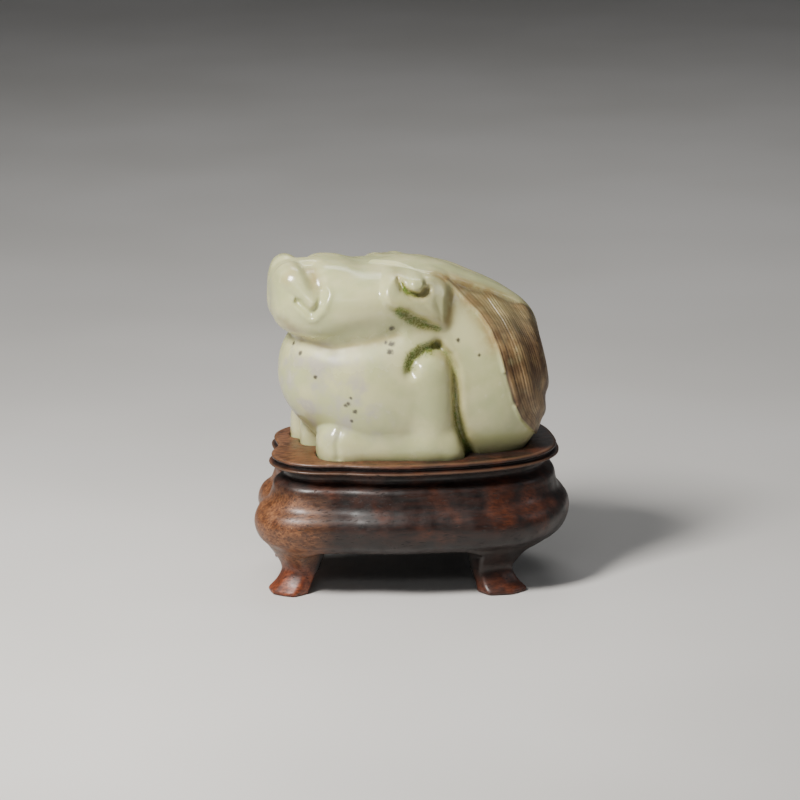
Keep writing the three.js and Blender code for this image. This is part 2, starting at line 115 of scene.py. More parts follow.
# The lion's masses: x from its middle toward the tail, y toward the far side, z up from its seat
TORSO = dict(at=(4, 0, 24), radii=(42.2, 26.5, 40.8), power=2.08)
MIDDLE_MASSES = [
    (dict(at=(-22, 0, 29), radii=(25, 23, 23), power=2.15), 6),
    (dict(at=(25.5, 0, 25), radii=(20.6, 20, 31), power=2.3), 5),
    (dict(at=(33.2, -3, 40.5), radii=(10.8, 12, 12), power=2.2), 4),
]
PAIRED_MASSES = [
    (dict(at=(23.5, -9.5, 23), radii=(23.8, 17.5, 29), power=2.15), 4),
    (dict(at=(-8, -12, 24), radii=(25, 16.5, 22.6), power=2.2), 7),
]
CRANIUM = dict(at=(-15, 0, 56), radii=(29, 25, 11.7), power=2.45)
MUZZLE = dict(at=(-35, 0, 57.5), radii=(15, 17, 12), power=3.5)
MUZZLE_BLEND = 5
JOWL = dict(at=(-29, -8, 52.5), radii=(18, 14.5, 11.3), power=2.2)
JOWL_BLEND = 5
# The head joins the body sharply at the jaw and softly at the nape
JAW_BLEND, JAW_END = 2.5, -46
NAPE_BLEND, NAPE_START = 7.5, -14
LIMBS = [
    (dict(start=(2.8, -20.5, 31), end=(4, -21.5, 8), thick=(8.4, 8.6)), 3),
    (dict(start=(-24, -16, 5), end=(9, -21.5, 4.5), thick=(8.5, 8.5)), 3),
]
PAWS = [
    (dict(at=(-25, -15, 5), radii=(11, 9.5, 9.8), power=2.5), 1.5),
    (dict(at=(-28.4, 3.2, 4), radii=(10.6, 6, 13), power=3.2), 1),
    (dict(at=(-30.8, 12.8, 4), radii=(10.2, 5.4, 13), power=3.2), 1),
]

# How far out from the middle the carving of the sides and of the cheeks begins and is full
SIDE_START, SIDE_FULL = 6, 11
CHEEK_START, CHEEK_FULL = 2, 6

# Carved lines of the side, drawn as (x, z), each with its depth and half-width
JAW_LINE = [
    (-47, 50), (-43, 46.6), (-39.3, 43.3), (-34.6, 41.8), (-30.5, 40.9), (-26, 42), (-14.4, 44), (-9, 46),
]
ARM_BACK_LINE = [
    (6, 41.5), (9.7, 38), (11.6, 33.4), (12, 25.9), (12.3, 18.2), (13.2, 14.1), (15, 7.7), (18.4, 0.3),
]
ARM_TOP_LINE = [(-4.4, 33.7), (-3.2, 37.4), (1.5, 40.4), (6, 41.5)]
MOUTH_LINE = [(-42.4, 58), (-38.3, 54.4), (-35.8, 57.3), (-34, 61.5)]
PAW_LINE = [(-28.4, 12), (-30, 8), (-29.6, 2.5)]
SCROLL_LINE = [(-7.4, 65.2), (-6.6, 62.4), (-4, 60.6), (-0.3, 59.9), (2.6, 61.4)]
SIDE_GROOVES = [
    (JAW_LINE, 0.8, 2.6),
    (ARM_BACK_LINE, 2.5, 1.9),
    (ARM_TOP_LINE, 2.0, 2.1),
    (MOUTH_LINE, 1.2, 1.3),
    (PAW_LINE, 0.6, 1.0),
    (SCROLL_LINE, 1.7, 1.15),
]

# The raised wing of the nostril and the hollow behind it
WING = dict(start=(-43.8, 66.2, 0), end=(-38, 58.4, 0), thick=(3.8, 1.9))
WING_RAISED = 1.4
WING_EDGE = 1.9
CHEEK_HOLLOW = dict(start=(-37.4, 69, 0), end=(-36.2, 63.4, 0), thick=(1.0, 0.5))
CHEEK_HOLLOW_DEPTH = 1.4
CHEEK_HOLLOW_WIDTH = 2.8

# The lip is a low ridge under the line of the mouth
LIP_RAISED = 0.6
LIP_BELOW = 2
LIP_WIDTH = 1.3

# The ear is a flat lobe, round in front and drawn out to a point behind, with a knob in its scroll
EAR_SHAPES = [
    dict(start=(-8, 61.4, 0), end=(-2, 60.9, 0), thick=(5.6, 5.8)),
    dict(start=(-2, 60.9, 0), end=(4.6, 60.2, 0), thick=(5.8, 6.2)),
    dict(start=(-2, 60, 0), end=(7.4, 49.8, 0), thick=(5.6, 1.3)),
    dict(start=(4.6, 60.2, 0), end=(8, 50, 0), thick=(6.2, 1.4)),
]
EAR_RAISED = 2.6
EAR_EDGE = 1.4
EAR_BACK_LOWER = 0.7
EAR_BACK_SOFTER = 1.3
EAR_BACK_START, EAR_BACK_FULL = 3, 9
EAR_DISH = 0.6
EAR_DISH_START, EAR_DISH_FULL = 1, 6
KNOB = (-1.5, 64.3)
KNOB_RADIUS = 2.6
KNOB_RAISED = 1.5
KNOB_EDGE = 1.2

# The lock of hair sweeps from under the ear down to the base, a step proud of the haunch
LOCK_LINE = [
    (10.5, 63), (16.9, 56), (21.3, 51.6), (24.6, 46.4), (26.8, 40.2),
    (28, 35.7), (29.6, 28.7), (31.9, 21.1), (35.2, 14.2), (41, 8),
]
LOCK_RAISED = 1.0
LOCK_EDGE = 0.7
LOCK_SLIT = [(29.6, 31), (31, 26), (33, 20.2)]
LOCK_SLIT_DEPTH = 0.9
LOCK_SLIT_WIDTH = 0.8
STRAND_PITCH = 8
STRAND_DEPTH = 0.45
STROKES = 34
STROKE_DEPTH = 0.26
STROKE_START, STROKE_FULL = 0.3, 1.5

# The crest is a smooth ribbon along the back, drawn as (x, y): it ends in a point at the rump
CREST_MIDDLE = -2
CREST_HALVES = [
    (-15, 0), (-6, 5), (0, 12), (4, 13.6), (10, 12.2),
    (20, 9.6), (30, 8), (38, 6.6), (45, 2.4), (47.5, 0.6),
]
CREST_RAISED = 0.9
CREST_LIP = 1.0
CREST_LIP_FROM, CREST_LIP_FULL, CREST_LIP_END = 4, 18, 46
CREST_LIP_WIDTH = 6
CREST_EDGE = 0.6
CREST_LOW, CREST_HIGH = 42, 46
CREST_DROP, DROP_START, DROP_FULL = 7, 34, 43


def ear_distance(x, z):
    """Distance outside the ear's edge, seen from the side"""
    return np.minimum.reduce([limb_distance(x, z, 0, **shape) for shape in EAR_SHAPES])


def crest_level(x, z):
    """How far a point is high enough for the crest, which runs lower at the rump"""
    drop = CREST_DROP * ease(DROP_START, DROP_FULL, x)
    return ease(CREST_LOW, CREST_HIGH, z + drop)


def crest_distance(x, y):
    """Distance outside the crest's edge, seen from above"""
    at, halves = zip(*CREST_HALVES)
    outside = np.maximum(np.maximum(at[0] - x, x - at[-1]), 0)
    return np.abs(y - CREST_MIDDLE) - np.interp(x, at, halves) + outside


# The rear of the lock in side view, where the strokes of its two sides meet
REAR_LINE = [(41, 51), (44, 42), (46.5, 32), (46.5, 24), (45, 14), (42, 4)]
REAR_SPREAD = 0.8
REAR_GAP = 0.5


def lock_shares(x, y, z):
    """How far a point lies inside the lock, and its share of the way across the strokes"""
    inside = line_distance(x, z, LOCK_LINE)[1]
    across = line_distance(x, z, REAR_LINE)[0] + REAR_SPREAD * np.abs(y) + REAR_GAP
    return inside, np.maximum(inside, 0) / (np.maximum(inside, 0) + across)


def stroke_groove(share):
    """The fine strokes of the hair: one groove at each whole number, each with a depth of its own"""
    phase = share * STROKES
    index = np.round(phase)
    depth = 0.55 + 0.45 * np.sin(index * 2.4 + 0.7 * np.sin(index * 5.1))
    return depth * (0.5 + 0.5 * np.cos(2 * math.pi * (phase - index))) ** 2


def lion_hundredths(x, y, z, fine=1.0):
    paired = -np.abs(y)
    body = mass_distance(x, y, z, **TORSO)
    for mass, blend in MIDDLE_MASSES:
        body = soft_union(body, mass_distance(x, y, z, **mass), blend)
    for mass, blend in PAIRED_MASSES:
        body = soft_union(body, mass_distance(x, paired, z, **mass), blend)
    head = mass_distance(x, y, z, **CRANIUM)
    head = soft_union(head, mass_distance(x, y, z, **MUZZLE), MUZZLE_BLEND)
    head = soft_union(head, mass_distance(x, paired, z, **JOWL), JOWL_BLEND)
    neck_blend = JAW_BLEND + (NAPE_BLEND - JAW_BLEND) * ease(JAW_END, NAPE_START, x)
    body = soft_union(body, head, neck_blend)
    for limb, blend in LIMBS:
        body = soft_union(body, limb_distance(x, paired, z, **limb), blend)
    for paw, blend in PAWS:
        body = soft_union(body, mass_distance(x, y, z, **paw), blend)

    on_side = ease(SIDE_START, SIDE_FULL, np.abs(y))
    on_cheek = ease(CHEEK_START, CHEEK_FULL, np.abs(y))
    cut = 0
    for line, depth, width in SIDE_GROOVES:
        cut = cut + depth * band(line_distance(x, z, line)[0], 0, width)
    ear_edge = ear_distance(x, z)
    at_back = ease(EAR_BACK_START, EAR_BACK_FULL, x)
    knob_edge = np.hypot(x - KNOB[0], z - KNOB[1]) - KNOB_RADIUS
    ear_height = EAR_RAISED - EAR_BACK_LOWER * at_back
    ear = ear_height * raised_share(ear_edge, EAR_EDGE + EAR_BACK_SOFTER * at_back)
    ear = ear - EAR_DISH * ease(EAR_DISH_START, EAR_DISH_FULL, -ear_edge)
    ear = ear + KNOB_RAISED * raised_share(knob_edge, KNOB_EDGE)
    body = body + on_side * (cut - ear)

    wing_edge = limb_distance(x, z, 0, **WING)
    hollow_edge = limb_distance(x, z, 0, **CHEEK_HOLLOW)
    hollow = CHEEK_HOLLOW_DEPTH * band(np.maximum(hollow_edge, 0), 0, CHEEK_HOLLOW_WIDTH)
    below_mouth = -line_distance(x, z, MOUTH_LINE)[1]
    lip_ridge = LIP_RAISED * band(below_mouth, LIP_BELOW, LIP_WIDTH)
    wing = WING_RAISED * raised_share(wing_edge, WING_EDGE)
    body = body + on_cheek * (hollow - wing) - on_side * lip_ridge

    inside, share = lock_shares(x, y, z)
    crest_edge = crest_distance(x, y)
    crest = raised_share(crest_edge, CREST_EDGE) * crest_level(x, z)
    strand = 1 - np.cos(2 * math.pi * inside / STRAND_PITCH)
    lock = LOCK_RAISED - STRAND_DEPTH * strand * ease(0, STRAND_PITCH, inside)
    lock = lock - fine * STROKE_DEPTH * stroke_groove(share) * ease(STROKE_START, STROKE_FULL, inside)
    slit = band(line_distance(x, z, LOCK_SLIT)[0], 0, LOCK_SLIT_WIDTH) * on_side
    body = body - lock * ease(-LOCK_EDGE, LOCK_EDGE, inside) * (1 - crest) + LOCK_SLIT_DEPTH * slit
    lip = CREST_LIP * ease(CREST_LIP_FROM, CREST_LIP_FULL, x) * ease(CREST_LIP_END, CREST_LIP_FULL, x)
    lip = lip * ease(CREST_LIP_WIDTH, 0, -crest_edge)
    return body - crest * (CREST_RAISED + lip)


def lion_distance(x, y, z, fine=1.0):
    """Millimetres outside the lion's surface, in its own frame"""
    return HUNDREDTH * lion_hundredths(x / HUNDREDTH, y / HUNDREDTH, z / HUNDREDTH, fine)


# Draws the surface where a grid of distances is zero
def surface_nets(values, axes):
    cells = np.array(values.shape) - 1
    strides = np.array([cells[1] * cells[2], cells[2], 1])
    found_ids, found_points, quads = [], [], []
    for axis in range(3):
        first, second = [slice(None)] * 3, [slice(None)] * 3
        first[axis], second[axis] = slice(0, -1), slice(1, None)
        a, b = values[tuple(first)], values[tuple(second)]
        index = np.argwhere((a < 0) != (b < 0))
        va, vb = a[tuple(index.T)], b[tuple(index.T)]
        point = np.stack([axes[k][index[:, k]] for k in range(3)], axis=1)
        gap = axes[axis][index[:, axis] + 1] - axes[axis][index[:, axis]]
        point[:, axis] += gap * va / (va - vb)
        ways = np.zeros((4, 3), int)
        ways[:, (axis + 1) % 3] = (-1, 0, 0, -1)
        ways[:, (axis + 2) % 3] = (-1, -1, 0, 0)
        ids = np.stack([(index + way) @ strides for way in ways], axis=1)
        found_ids.append(ids.ravel())
        found_points.append(np.repeat(point, 4, axis=0))
        quads.append(np.where((va < 0)[:, None], ids, ids[:, ::-1]))
    ids, points = np.concatenate(found_ids), np.concatenate(found_points)
    used, place = np.unique(ids, return_inverse=True)
    counts = np.bincount(place)
    corners = np.stack([np.bincount(place, points[:, k]) / counts for k in range(3)], axis=1)
    quads = np.searchsorted(used, np.concatenate(quads))
    return corners, split_quads(corners, quads)


def split_quads(corners, quads):
    p = corners[quads]
    first_way = np.linalg.norm(p[:, 0] - p[:, 2], axis=1) <= np.linalg.norm(p[:, 1] - p[:, 3], axis=1)
    turned = np.where(first_way[:, None], quads, np.roll(quads, -1, axis=1))
    return np.concatenate([turned[:, [0, 1, 2]], turned[:, [0, 2, 3]]])


def triangle_edges(triangles):
    return np.concatenate([triangles[:, [0, 1]], triangles[:, [1, 2]], triangles[:, [2, 0]]])


def relax(points, triangles, rounds):
    """Evens out the corners by moving each toward the middle of its neighbours"""
    for _ in range(rounds):
        pairs = triangle_edges(triangles)
        counts = np.bincount(pairs[:, 0], minlength=len(points))
        ends = points[pairs[:, 1]]
        sums = np.stack([np.bincount(pairs[:, 0], ends[:, k], len(points)) for k in range(3)], axis=1)
        points = 0.5 * points + 0.5 * sums / np.maximum(counts, 1)[:, None]
    return points


def settle(points, distance, rounds, longest):
    """Moves the corners onto the surface"""
    nudge = 0.02
    for _ in range(rounds):
        value = distance(*points.T)
        nudged = [distance(*(points + nudge * way).T) for way in np.eye(3)]
        slope = np.stack([near_value - value for near_value in nudged], axis=1) / nudge
        move = -value[:, None] * slope / np.maximum((slope**2).sum(axis=1), 0.3)[:, None]
        length = np.linalg.norm(move, axis=1)[:, None]
        points = points + move * np.minimum(1, longest / np.maximum(length, 1e-9))
    return points


def split_marked(points, triangles, marked):
    """Halves the marked edges, and cuts the triangles to match so that the skin stays closed"""
    edges = np.sort(triangle_edges(triangles), axis=1)
    unique, place = np.unique(edges, axis=0, return_inverse=True)
    chosen = marked(points, unique)
    new_id = np.full(len(unique), -1)
    new_id[chosen] = len(points) + np.arange(chosen.sum())
    points = np.concatenate([points, points[unique[chosen]].mean(axis=1)])
    middles = new_id[place.ravel().reshape(3, -1).T]
    count = (middles >= 0).sum(axis=1)
    done = [triangles[count == 0]]
    for wanted in (1, 2, 3):
        picked, mids = triangles[count == wanted], middles[count == wanted]
        if wanted < 3:
            # one marked edge is turned to come first, and two marked ones to come first and second
            first = (mids >= 0).argmax(axis=1)
            if wanted == 2:
                first = (1 + (mids < 0).argmax(axis=1)) % 3
            order = (first[:, None] + np.arange(3)) % 3
            picked, mids = np.take_along_axis(picked, order, 1), np.take_along_axis(mids, order, 1)
        a, b, c = picked.T
        ab, bc, ca = mids.T
        pieces = {
            1: [(a, ab, c), (ab, b, c)],
            2: [(a, ab, c), (ab, bc, c), (ab, b, bc)],
            3: [(a, ab, ca), (ab, b, bc), (ca, bc, c), (ab, bc, ca)],
        }[wanted]
        done += [np.stack(piece, axis=1) for piece in pieces]
    return points, np.concatenate(done)


def fit_to_node(points, node):
    """Sets a piece, in millimetres, exactly in the box of the solid that it replaces"""
    low, high = (np.array(corner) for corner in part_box(node))
    own_low, own_high = points.min(axis=0), points.max(axis=0)
    return low + (points - own_low) * (high - low) / (own_high - own_low)


def add_piece(name, points, triangles, shares, node, material):
    """Makes a mesh from corners in metres, with named shares on its corners"""
    mesh = bpy.data.meshes.new(name)
    mesh.vertices.add(len(points))
    mesh.vertices.foreach_set("co", points.astype(np.float32).ravel())
    mesh.loops.add(3 * len(triangles))
    mesh.loops.foreach_set("vertex_index", triangles.astype(np.int32).ravel())
    mesh.polygons.add(len(triangles))
    mesh.polygons.foreach_set("loop_start", np.arange(0, 3 * len(triangles), 3, dtype=np.int32))
    mesh.update(calc_edges=True)
    mesh.validate()
    mesh.polygons.foreach_set("use_smooth", np.ones(len(mesh.polygons), bool))
    for key, value in shares.items():
        attribute = mesh.attributes.new(key, "FLOAT", "POINT")
        attribute.data.foreach_set("value", value.astype(np.float32))
    mesh.materials.append(material)
    piece = bpy.data.objects.new(name, mesh)
    bpy.context.collection.objects.link(piece)
    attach(piece, "root")
    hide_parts(node)
    return piece


# Materials
class Surface:
    """A node material under construction"""

    def __init__(self, name):
        self.material = bpy.data.materials.new(name)
        self.material.use_nodes = True
        self.tree = self.material.node_tree
        self.shader = self.tree.nodes["Principled BSDF"]
        self.place = self.node("ShaderNodeTexCoord").outputs["Object"]

    def node(self, kind, inputs=None, **settings):
        made = self.tree.nodes.new(kind)
        for key, value in settings.items():
            setattr(made, key, value)
        for key, value in (inputs or {}).items():
            self.plug(value, made.inputs[key])
        return made

    def plug(self, value, socket):
        if isinstance(value, bpy.types.NodeSocket):
            self.tree.links.new(value, socket)
        else:
            socket.default_value = value

    def share(self, name):
        return self.node("ShaderNodeAttribute", attribute_name=name).outputs["Fac"]

    def noise(self, size, detail=2.0, stretch=(1, 1, 1), rough=0.5):
        """Noise whose blots are about so many millimetres across"""
        mapped = self.node("ShaderNodeMapping", {"Vector": self.place, "Scale": stretch}).outputs[0]
        inputs = {"Vector": mapped, "Scale": 1 / (size * MM), "Detail": detail, "Roughness": rough}
        return self.node("ShaderNodeTexNoise", inputs).outputs["Fac"]

    def between(self, value, low, high, to_low=0.0, to_high=1.0):
        inputs = {"Value": value, "From Min": low, "From Max": high, "To Min": to_low, "To Max": to_high}
        return self.node("ShaderNodeMapRange", inputs, interpolation_type="SMOOTHSTEP").outputs[0]

    def maths(self, operation, a, b):
        return self.node("ShaderNodeMath", {0: a, 1: b}, operation=operation).outputs[0]

    def times(self, a, b):
        return self.maths("MULTIPLY", a, b)

    def mix(self, factor, a, b):
        made = self.node("ShaderNodeMix", data_type="RGBA")
        self.plug(factor, made.inputs["Factor"])
        for value, socket in ((a, made.inputs[6]), (b, made.inputs[7])):
            self.plug((*value, 1.0) if isinstance(value, tuple) else value, socket)
        return made.outputs[2]

    def bump(self, height, depth, strength=1.0, normal=None):
        """Relief that stands so many millimetres high"""
        inputs = {"Height": height, "Distance": depth * MM, "Strength": strength}
        if normal is not None:
            inputs["Normal"] = normal
        return self.node("ShaderNodeBump", inputs).outputs[0]


def srgb(red, green, blue):
    """A colour given in the usual 0 to 255 steps"""
    shares = [step / 255 for step in (red, green, blue)]
    return tuple(((v + 0.055) / 1.055) ** 2.4 if v > 0.04 else v / 12.92 for v in shares)


# Small dark specks in the stone of the near side, as (x, z, radius) in the lion's hundredths
SPECKS = [
    (-10.2, 49, 1.0), (-10.6, 42.9, 0.9), (-11, 40.8, 1.0), (-12.4, 43.4, 0.6), (-26.2, 23.1, 0.7),
    (-27, 22, 0.65), (-25.3, 24.8, 0.5), (-23.9, 19.9, 0.75), (-24.8, 16.5, 0.5), (-42.8, 40.9, 0.6),
    (-40.8, 38.6, 0.7), (-36.8, 31.3, 0.6), (13.3, 43.3, 0.7), (20.6, 38.3, 0.55),
]


# A speck is dark up to its core and gone at its edge, both as shares of its radius
SPECK_CORE, SPECK_EDGE = 0.7425, 2.025


# The stone's colours, those of its skin and its dirt, and the brown of the hair strokes and of a painted
# shadow
CELADON, CREAM, MOSS, PALE, LILAC = (
    srgb(188, 191, 141), srgb(204, 202, 153), srgb(170, 176, 126), srgb(214, 211, 176), srgb(178, 170, 166),
)
TAN, SKIN_DARK, SKIN_LIGHT, SKIN_RED, STROKES_AND_SHADOW_BROWN = (
    srgb(150, 118, 66), srgb(92, 66, 38), srgb(150, 122, 82), srgb(96, 70, 46), srgb(60, 42, 24),
)
DIRT_HAZE, DIRT_GREEN, DIRT_OLIVE, SPECK_DARK = (
    srgb(104, 122, 30), srgb(72, 108, 0), srgb(96, 98, 0), srgb(44, 34, 34),
)


def jade_material(specks_at):
    made = Surface("jade")
    colour = made.mix(made.between(made.noise(9, 3), 0.38, 0.64), CELADON, CREAM)
    colour = made.mix(made.between(made.noise(5, 4), 0.52, 0.75, 0, 0.35), colour, MOSS)
    lilac = made.times(made.share("cloud"), made.between(made.noise(4.2, 3), 0.42, 0.68, 0, 0.7))
    colour = made.mix(lilac, colour, LILAC)
    colour = made.mix(made.between(made.noise(2.1, 5), 0.6, 0.72, 0, 0.3), colour, PALE)

    warm = made.times(made.share("warm"), made.between(made.noise(3, 4), 0.3, 0.6, 0.35, 1))
    colour = made.mix(warm, colour, TAN)
    strands = made.noise(1.6, 4, (0.35, 1, 0.35))
    russet = made.mix(made.between(strands, 0.35, 0.68), SKIN_DARK, SKIN_LIGHT)
    russet = made.mix(made.between(made.noise(6, 2), 0.45, 0.65, 0, 0.5), russet, SKIN_RED)
    # the hair strokes, the slit and the painted shadow under the crest's edge are darkened to brown
    russet = made.mix(made.times(made.share("strokes_and_shadow"), 0.8), russet, STROKES_AND_SHADOW_BROWN)
    lock = made.times(made.share("russet"), made.between(made.noise(3.4, 3), 0.25, 0.5, 0.8, 1))
    colour = made.mix(lock, colour, russet)

    # a green haze lies under the grains of dirt
    haze = made.times(made.share("dirt"), made.between(made.noise(1.8, 3), 0.3, 0.6, 0.25, 0.6))
    colour = made.mix(haze, colour, DIRT_HAZE)
    grains = made.times(made.noise(0.7, 6, rough=0.8), 1.9)
    dirt = made.between(made.maths("SUBTRACT", made.share("dirt"), grains), -0.85, -0.1, 0, 0.92)
    dirt = made.times(dirt, made.between(made.share("dirt"), 0.05, 0.5))
    dirt = made.times(dirt, made.between(made.noise(0.45, 3), 0.4, 0.58, 0.45, 1))
    stain = made.mix(made.between(made.noise(1.6), 0.35, 0.6), DIRT_GREEN, DIRT_OLIVE)
    colour = made.mix(dirt, colour, stain)

    specks = 0.0
    for place, (_, _, radius) in zip(specks_at, SPECKS):
        inputs = {0: made.place, 1: tuple(place)}
        distance = made.node("ShaderNodeVectorMath", inputs, operation="DISTANCE").outputs["Value"]
        reach = radius * HUNDREDTH * MM
        ragged = made.between(made.noise(0.7, 3), 0.3, 0.7, 0, 0.6 * reach)
        from_middle = made.maths("ADD", distance, ragged)
        blot = made.between(from_middle, SPECK_CORE * reach, SPECK_EDGE * reach, 0.85, 0.0)
        specks = made.maths("MAXIMUM", blot, specks)
    colour = made.mix(specks, colour, SPECK_DARK)

    made.plug(colour, made.shader.inputs["Base Color"])
    rough = made.between(made.noise(2.5, 4), 0.3, 0.7, 0.16, 0.27)
    rough = made.maths("ADD", rough, made.times(made.share("russet"), 0.24))
    rough = made.maths("ADD", rough, made.times(made.share("dull"), 0.32))
    made.plug(made.maths("ADD", rough, made.times(dirt, 0.3)), made.shader.inputs["Roughness"])
    normal = made.bump(made.noise(0.35, 2), 0.012, 0.5)
    made.plug(made.bump(made.noise(3.2, 2), 0.05, 0.6, normal), made.shader.inputs["Normal"])
    made.shader.inputs["IOR"].default_value = 1.61
    made.shader.inputs["Subsurface Weight"].default_value = 0.3
    made.shader.inputs["Subsurface Radius"].default_value = (1.0, 0.85, 0.5)
    made.shader.inputs["Subsurface Scale"].default_value = 0.9 * MM
    return made.material


# The wood's colours, from its dark polish to where it is worn, and the dark of its painted shade
WOOD_DARK, WOOD_BROWN, WOOD_PATCH = srgb(20, 12, 10), srgb(46, 24, 17), srgb(96, 50, 30)
GOLDEN_DARK, GOLDEN_LIGHT, GOLDEN_FLECK = srgb(84, 48, 28), srgb(140, 92, 56), srgb(196, 170, 130)
WORN_DARK, WORN_LIGHT, WORN_EDGE = srgb(92, 40, 22), srgb(150, 80, 48), srgb(128, 92, 66)
PORE_DARK, SHADE_DARK = srgb(16, 10, 8), srgb(18, 12, 10)


def wood_material():
    made = Surface("stand wood")
    grain = made.noise(1.1, 6, (0.12, 1, 0.8), 0.62)
    colour = made.mix(made.between(grain, 0.36, 0.66), WOOD_DARK, WOOD_BROWN)
    fine = made.between(made.noise(0.55, 5, (0.3, 1, 1), 0.7), 0.36, 0.64)
    broken = made.between(fine, 0, 1, 0.4, 1)
    patches = made.times(made.between(made.noise(8, 3), 0.48, 0.7, 0, 0.7), broken)
    colour = made.mix(patches, colour, WOOD_PATCH)
    golden = made.mix(fine, GOLDEN_DARK, GOLDEN_LIGHT)
    rubbed = made.between(made.noise(3, 4), 0.3, 0.6, 0.5, 1)
    colour = made.mix(made.times(made.share("golden"), rubbed), colour, golden)
    red = made.mix(fine, WORN_DARK, WORN_LIGHT)
    worn = made.between(made.noise(2.4, 4), 0.32, 0.6, 0.35, 1)
    colour = made.mix(made.times(made.share("wear"), worn), colour, red)
    colour = made.mix(made.times(made.share("edge"), 0.45), colour, WORN_EDGE)
    pores = made.between(made.noise(0.32, 2, (0.14, 1, 1)), 0.62, 0.7)
    colour = made.mix(made.times(pores, 0.8), colour, PORE_DARK)
    flecks = made.times(made.between(made.noise(0.3, 2), 0.7, 0.76, 0, 0.7), made.share("golden"))
    colour = made.mix(flecks, colour, GOLDEN_FLECK)
    colour = made.mix(made.share("shade"), colour, SHADE_DARK)
    made.plug(colour, made.shader.inputs["Base Color"])
    rough = made.between(made.noise(3, 5), 0.3, 0.7, 0.36, 0.56)
    made.plug(made.maths("ADD", rough, made.times(pores, 0.3)), made.shader.inputs["Roughness"])
    normal = made.bump(pores, -0.05, 0.8)
    normal = made.bump(grain, 0.05, 0.5, normal)
    scratches = made.noise(0.25, 3, (1, 0.2, 0.6))
    made.plug(made.bump(scratches, 0.03, 0.5, normal), made.shader.inputs["Normal"])
    made.shader.inputs["Coat Weight"].default_value = 0.12
    made.shader.inputs["Coat Roughness"].default_value = 0.3
    return made.material


# The lion's piece: the grid reaches past its masses on every side
GRID_LOW, GRID_HIGH = (-51, -32, 0), (51, 32, 73)
SEAT_EDGE = 0.3


def make_lion():
    step = LION_STEP * QUICK_FACTOR
    low = np.array(GRID_LOW) * HUNDREDTH - 2 * step
    high = np.array(GRID_HIGH) * HUNDREDTH + 2 * step
    axes = [np.arange(a, b, step) for a, b in zip(low, high)]
    x, y, z = np.meshgrid(*axes, indexing="ij", sparse=True)

    def coarse(x, y, z):
        return soft_cut(lion_distance(x, y, z, 0.0), -z, SEAT_EDGE)

    def detailed(x, y, z):
        return soft_cut(lion_distance(x, y, z), -z, SEAT_EDGE)

    points, triangles = surface_nets(coarse(x, y, z), axes)
    points = settle(relax(points, triangles, 2), coarse, 2, step)

    # the skin is split only where it runs across the strokes of the hair
    def across_strokes(points, edges):
        inside, share = lock_shares(*(points / HUNDREDTH).T)
        turn = np.abs(share[edges[:, 0]] - share[edges[:, 1]]) * STROKES
        off_crest = crest_distance(*(points[:, :2] / HUNDREDTH).T)
        in_lock = (inside[edges].min(axis=1) > -0.5) & (off_crest[edges].min(axis=1) > -0.5)
        length = np.linalg.norm(points[edges[:, 0]] - points[edges[:, 1]], axis=1)
        return in_lock & (turn > 0.3) & (length > 0.2)

    for _ in range(2):
        points, triangles = split_marked(points, triangles, across_strokes)
        points = settle(points, coarse, 1, step)
    points = settle(points, detailed, 2, 0.4 * step)

    hundredths = points / HUNDREDTH
    shares = lion_shares(*hundredths.T)
    seated = fit_to_node(points, "jade_lion")
    # the specks lie on the near side, so corners of the far side are put out of reach
    off_side = 1e3 * (hundredths[:, 1] > -2)
    along, up = hundredths[:, 0], hundredths[:, 2]
    nearest = [np.argmin(np.hypot(along - x, up - z) + off_side) for x, z, _ in SPECKS]
    print("lion", len(points), "corners", len(triangles), "triangles")
    material = jade_material(seated[nearest])
    add_piece("carved_jade_lion", seated, triangles, shares, "jade_lion", material)


# Dirt in the creases and tan stains along them, drawn as (x, z): each line with its width and strength
DIRT_LINES = [
    ([(-6.6, 63.8), (-5.2, 61.4), (-1.4, 60.1)], 0.9, 0.95),
    ([(-8.2, 55.2), (-3.5, 51.6), (1, 49.4)], 2.0, 1),
    ([(1, 49.4), (6, 47.6)], 1.4, 0.85),
    ([(-5, 35.4), (-4, 38.4), (-1, 40.6), (3, 41.2)], 2.4, 1),
]
WARM_LINES = [
    ([(12.3, 63), (12, 57), (9.5, 50)], 2.4, 0.6),
    ([(14, 61), (19, 56), (24, 49), (26, 42)], 4, 0.75),
    ([(-46.5, 65), (-43, 69)], 1.6, 0.35),
    ([(-37.6, 69), (-36, 64)], 2.2, 0.55),
    ([(-8.5, 56.2), (-3.5, 52.6), (5, 48.6)], 4, 0.35),
    (ARM_BACK_LINE, 3.4, 0.45),
    (JAW_LINE, 1.8, 0.4),
    (SCROLL_LINE, 2.2, 0.45),
]
DULL_SHELF = [(-40, 39), (-26, 39.5), (-8, 42)]


